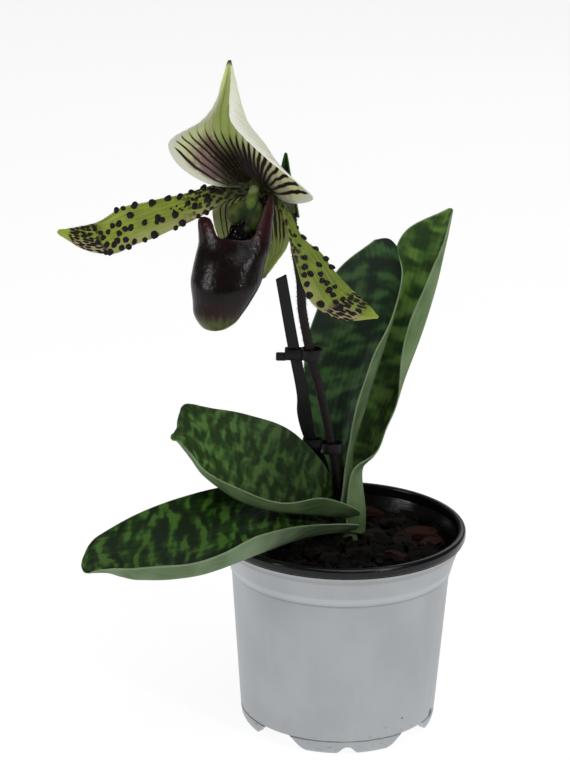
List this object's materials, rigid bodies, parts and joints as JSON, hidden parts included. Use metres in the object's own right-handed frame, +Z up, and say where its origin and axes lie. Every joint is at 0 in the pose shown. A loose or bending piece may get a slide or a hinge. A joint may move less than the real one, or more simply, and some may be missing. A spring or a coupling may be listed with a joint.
{
  "type": "potted slipper orchid",
  "caption": "Slipper orchid in flower: mottled leaves, striped hood, warty petals and a dark pouch on a staked stem, growing in bark in a round footed pot.",
  "frame": {"origin": "middle of the pot's underside, on the surface it stands on", "axes": "+Z up, -Y the front of the plant and the side the flower turns towards, +X to the right seen from the front"},
  "size_m": [0.1945, 0.1556, 0.3287],
  "materials": {
    "pot_plastic": "thin thermoformed plastic, silver grey outside with a black lip and inside",
    "bark": "damp composted bark chips, dark with reddish brown faces",
    "root": "pale green sheathed base and fleshy hairy roots",
    "leaf": "leathery leaf, light and dark green tessellated above, pale grey green below",
    "stem": "dark maroon stem with short hairs",
    "ovary": "ribbed green ovary flushed with maroon",
    "staminode": "glossy lime green shield with darker green net",
    "petal": "lime green with near black maroon warts",
    "pouch": "glossy burgundy, almost black, green at the toe",
    "sepal": "white and green with dark purple stripes",
    "bract": "green bract",
    "black_plastic": "black plastic"
  },
  "bodies": {
    "root": {"pot": "pot_plastic", "bark_mix": "bark", "crown_and_roots": "root", "flower_stem": "stem", "leaf_front_right": "leaf", "leaf_back_right": "leaf", "leaf_upper_left": "leaf", "leaf_lower_left": "leaf", "ovary": "ovary", "staminode": "staminode", "petal_left": "petal", "petal_right": "petal", "pouch": "pouch", "dorsal_sepal": "sepal", "ventral_sepal": "sepal", "bract": "bract", "stake": "black_plastic", "clip_upper": "black_plastic", "clip_lower": "black_plastic"}
  },
  "joints": []
}
